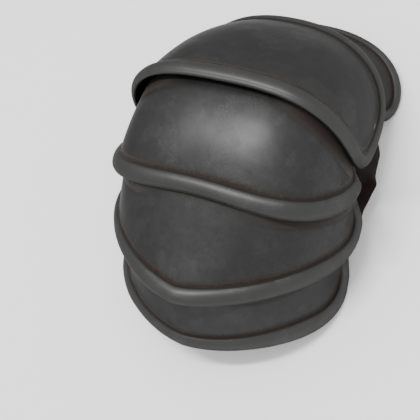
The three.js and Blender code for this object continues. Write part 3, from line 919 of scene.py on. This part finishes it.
RIVET_DARK = grey(0.032)
RIVET_PALE = grey(0.05)
RIVET_NOISE = (1.8, 5, 0.65)
RIVET_TONES = (0.38, 0.62)
RIVET_ROUGHNESS_TONES = (0.3, 0.7, 0.55, 0.36)
RIVET_METALLIC = 0.9
RIVET_BUMP = 0.12


def rivet_steel():
    """The rivets' blackened steel, mottled, and smoother where it is paler."""
    material, tree, shader = new_material("rivet_steel_finish")
    mottle = cloud(tree, *RIVET_NOISE)
    colour = mixed(tree, ranged(tree, mottle, *RIVET_TONES), RIVET_DARK, RIVET_PALE)
    tree.links.new(colour, shader.inputs["Base Color"])
    rough = ranged(tree, mottle, *RIVET_ROUGHNESS_TONES)
    tree.links.new(rough, shader.inputs["Roughness"])
    shader.inputs["Metallic"].default_value = RIVET_METALLIC
    bumped(tree, shader, mottle, RIVET_BUMP)
    return material


# Leather

LEATHER_DARK = (0.004, 0.0016, 0.0012, 1.0)
LEATHER_BROWN = (0.009, 0.0036, 0.0026, 1.0)
LEATHER_WORN = (0.022, 0.010, 0.0075, 1.0)
GRAIN_SIZE = 1.1
GRAIN_WANDER = 0.0015  # share of noise in the grain's place, which moves its cells a little
GRAIN_WANDER_SIZE = 2.5
GRAIN_REACH = (0.0, 0.14)
LEATHER_NOISE = (28, 4, 0.6)
LEATHER_TONES = (0.36, 0.66)
CREASE_NOISE = (9, 3, 0.6)
CREASE_STRETCH = (1, 2.6, 1)
CREASE_WIDTH = 0.03
SCUFF_NOISE = (7, 5, 0.7)
SCUFF_TONES = (0.52, 0.68)
SCUFF_SHARE = 0.45
WORN_EDGE = (0.2, 2.6)  # from_edge over which the worn edge ends
WORN_EDGE_SHARE = 0.5
EDGE_NOISE = (3, 4, 0.7)
EDGE_FRAY = 3.0
GRAIN_SHADE = 0.55  # how far the leather darkens between its pebbles
LEATHER_ROUGHNESS = 0.60
LEATHER_SPECULAR = 0.06
LEATHER_BUMP = 0.16


def leather_grain(tree):
    """From 0 between the pebbles of the grain to 1 on them."""
    grain = tree.nodes.new("ShaderNodeTexVoronoi")
    grain.feature = "DISTANCE_TO_EDGE"
    grain.inputs["Scale"].default_value = 1 / (GRAIN_SIZE * MM)
    grain.inputs["Randomness"].default_value = 1.0
    place = tree.nodes.new("ShaderNodeTexCoord")
    shift = tree.nodes.new("ShaderNodeTexNoise")
    shift.inputs["Scale"].default_value = 1 / (GRAIN_WANDER_SIZE * MM)
    wander = tree.nodes.new("ShaderNodeMix")
    wander.data_type = "VECTOR"
    wander.inputs["Factor"].default_value = GRAIN_WANDER
    tree.links.new(place.outputs["Object"], shift.inputs["Vector"])
    tree.links.new(place.outputs["Object"], wander.inputs[4])
    tree.links.new(shift.outputs["Color"], wander.inputs[5])
    tree.links.new(wander.outputs[1], grain.inputs["Vector"])
    return ranged(tree, grain.outputs["Distance"], *GRAIN_REACH)


def old_leather():
    """Dark brown, waxed leather with a fine grain, creases and scuffed, burnished edges."""
    material, tree, shader = new_material("leather_finish")
    broad = cloud(tree, *LEATHER_NOISE)
    pebble = leather_grain(tree)
    creases = fine_lines(tree, cloud(tree, *CREASE_NOISE, CREASE_STRETCH), CREASE_WIDTH)
    from_edge = plus(tree, mark(tree, "from_edge"), frayed(tree, EDGE_NOISE, EDGE_FRAY))
    edge = ranged(tree, from_edge, *WORN_EDGE, 1, 0)
    scuffed = ranged(tree, cloud(tree, *SCUFF_NOISE), *SCUFF_TONES)

    colour = mixed(tree, ranged(tree, broad, *LEATHER_TONES), LEATHER_DARK, LEATHER_BROWN)
    colour = mixed(tree, times(tree, scuffed, SCUFF_SHARE), colour, LEATHER_WORN)
    colour = mixed(tree, times(tree, edge, WORN_EDGE_SHARE), colour, LEATHER_WORN)
    colour = mixed(tree, ranged(tree, pebble, 0, 1, GRAIN_SHADE, 0), colour, LEATHER_DARK)
    tree.links.new(colour, shader.inputs["Base Color"])
    rough = plus(tree, weighed(tree, (broad, 0.24), (edge, -0.1)), LEATHER_ROUGHNESS)
    tree.links.new(rough, shader.inputs["Roughness"])
    shader.inputs["Specular IOR Level"].default_value = LEATHER_SPECULAR
    height = weighed(tree, (pebble, 0.6), (creases, -0.8), (broad, 0.5))
    bumped(tree, shader, height, LEATHER_BUMP)
    return material


def dress(piece, material, node):
    piece.data.materials.clear()
    piece.data.materials.append(material)
    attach(piece, "root")
    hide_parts(node)


# Camera

PHOTO_SIZE = 420
SENSOR = 36.0
CAMERA_AZIMUTH = 24.33  # of the worn layout, from -Y towards +X
CAMERA_ELEVATION = 35.13
CAMERA_DISTANCE = 582.07  # from the layout's origin
SCALE_AT_ORIGIN = 1.37  # photo pixels a mm
ORIGIN_IN_PHOTO = (256.7, 202.64)

# Floor and lights, in metres
FLOOR_REACH = 4.0
FLOOR_COLOUR = (0.92, 0.92, 0.92, 1)
FLOOR_ROUGHNESS = 0.9

GLINT_P, GLINT_Q = 0.17, 0.59  # where the photo's highlight lies on the shoulder cop
KEY_DISTANCE = 0.9
KEY_WIDTH, KEY_HEIGHT = 0.08, 0.5
KEY_POWER = 10.0
OVERHEAD_PLACE = (-0.4, 0.8, 1.4)
OVERHEAD_SIZE = 1.4
OVERHEAD_POWER = 2.5
WORLD_STRENGTH = 1.28


def look_frame():
    """Right, up and backward directions of the camera in the worn layout."""
    azimuth, elevation = math.radians(CAMERA_AZIMUTH), math.radians(CAMERA_ELEVATION)
    right = np.array([math.cos(azimuth), math.sin(azimuth), 0])
    level = math.cos(elevation)
    back = np.array([level * right[1], -level * right[0], math.sin(elevation)])
    return right, np.cross(back, right), back


def add_camera():
    """The camera, on the photo's own line of sight to the pauldron; returns its place."""
    right, up, back = look_frame()
    data = bpy.data.cameras.new("camera")
    camera = bpy.data.objects.new("camera", data)
    bpy.context.scene.collection.objects.link(camera)
    axes = Matrix([turned(axis) for axis in (right, up, back)]).transposed().to_4x4()
    place = Vector(at_rest(back * CAMERA_DISTANCE))
    camera.matrix_world = Matrix.Translation(place) @ axes
    data.sensor_width = SENSOR
    data.lens = SCALE_AT_ORIGIN * CAMERA_DISTANCE * SENSOR / PHOTO_SIZE
    data.shift_x = -(ORIGIN_IN_PHOTO[0] - PHOTO_SIZE / 2) / PHOTO_SIZE
    data.shift_y = (ORIGIN_IN_PHOTO[1] - PHOTO_SIZE / 2) / PHOTO_SIZE
    bpy.context.scene.camera = camera
    return place


def add_floor():
    reach = FLOOR_REACH
    corners = [(-reach, -reach, 0), (reach, -reach, 0), (reach, reach, 0), (-reach, reach, 0)]
    mesh = bpy.data.meshes.new("floor")
    mesh.from_pydata(corners, [], [(0, 1, 2, 3)])
    floor = bpy.data.objects.new("floor", mesh)
    bpy.context.scene.collection.objects.link(floor)
    material, _, shader = new_material("floor_finish")
    shader.inputs["Base Color"].default_value = FLOOR_COLOUR
    shader.inputs["Roughness"].default_value = FLOOR_ROUGHNESS
    mesh.materials.append(material)


def add_light(name, place, target, width, height, power):
    data = bpy.data.lights.new(name, "AREA")
    data.shape = "RECTANGLE"
    data.size = width
    data.size_y = height
    data.energy = power
    light = bpy.data.objects.new(name, data)
    light.location = place
    light.rotation_euler = (Vector(target) - Vector(place)).to_track_quat("-Z", "Y").to_euler()
    bpy.context.scene.collection.objects.link(light)


def add_lights(lames, camera_place):
    """A narrow key light mirrored in the cop where the photo's highlight lies, and soft fill."""
    cop = lames["shoulder_cop"]
    glint = at_rest(surface_point(cop, np.array(GLINT_P), np.array(GLINT_Q)))
    normal = turned(surface_frame(cop, np.array(GLINT_P), np.array(GLINT_Q))[2])
    to_camera = unit(np.array(camera_place) - glint)
    to_key = 2 * np.dot(to_camera, normal) * normal - to_camera
    add_light("key", glint + to_key * KEY_DISTANCE, glint, KEY_WIDTH, KEY_HEIGHT, KEY_POWER)
    add_light("overhead", OVERHEAD_PLACE, (0, 0, 0), OVERHEAD_SIZE, OVERHEAD_SIZE, OVERHEAD_POWER)
    world = bpy.data.worlds.new("studio")
    world.use_nodes = True
    background = world.node_tree.nodes["Background"]
    background.inputs["Color"].default_value = (1, 1, 1, 1)
    background.inputs["Strength"].default_value = WORLD_STRENGTH
    bpy.context.scene.world = world


def main():
    camera_place = add_camera()
    add_floor()
    lames = {}
    for name in LAME_ROWS:
        lames[name] = make_lame(name, lames)
    add_lights(lames, camera_place)

    steel, rivets, leather = blackened_steel(), rivet_steel(), old_leather()
    edges = {None: None}
    for seed, (name, lame) in enumerate(lames.items()):
        plate, edges[name] = make_plate(name + "_smooth", lame, seed + 1, edges[lame["over"]])
        dress(plate, steel, name)

    seats = rivet_seats(lames)
    samples = inner_samples(lames)
    for word, side in (("front", 1), ("rear", -1)):
        band = make_leather(word + "_leather_worn", seats, samples, side)
        dress(band, leather, word + "_leather")
        for seed, seat in enumerate(seats):
            name = word + "_" + seat["name"].replace("_lame", "") + "_rivet"
            rivet = make_rivet(name, seat, side, seed + RIVET_SEED_STEP * side)
            dress(rivet, rivets, name)


main()
bpy.context.view_layer.update()
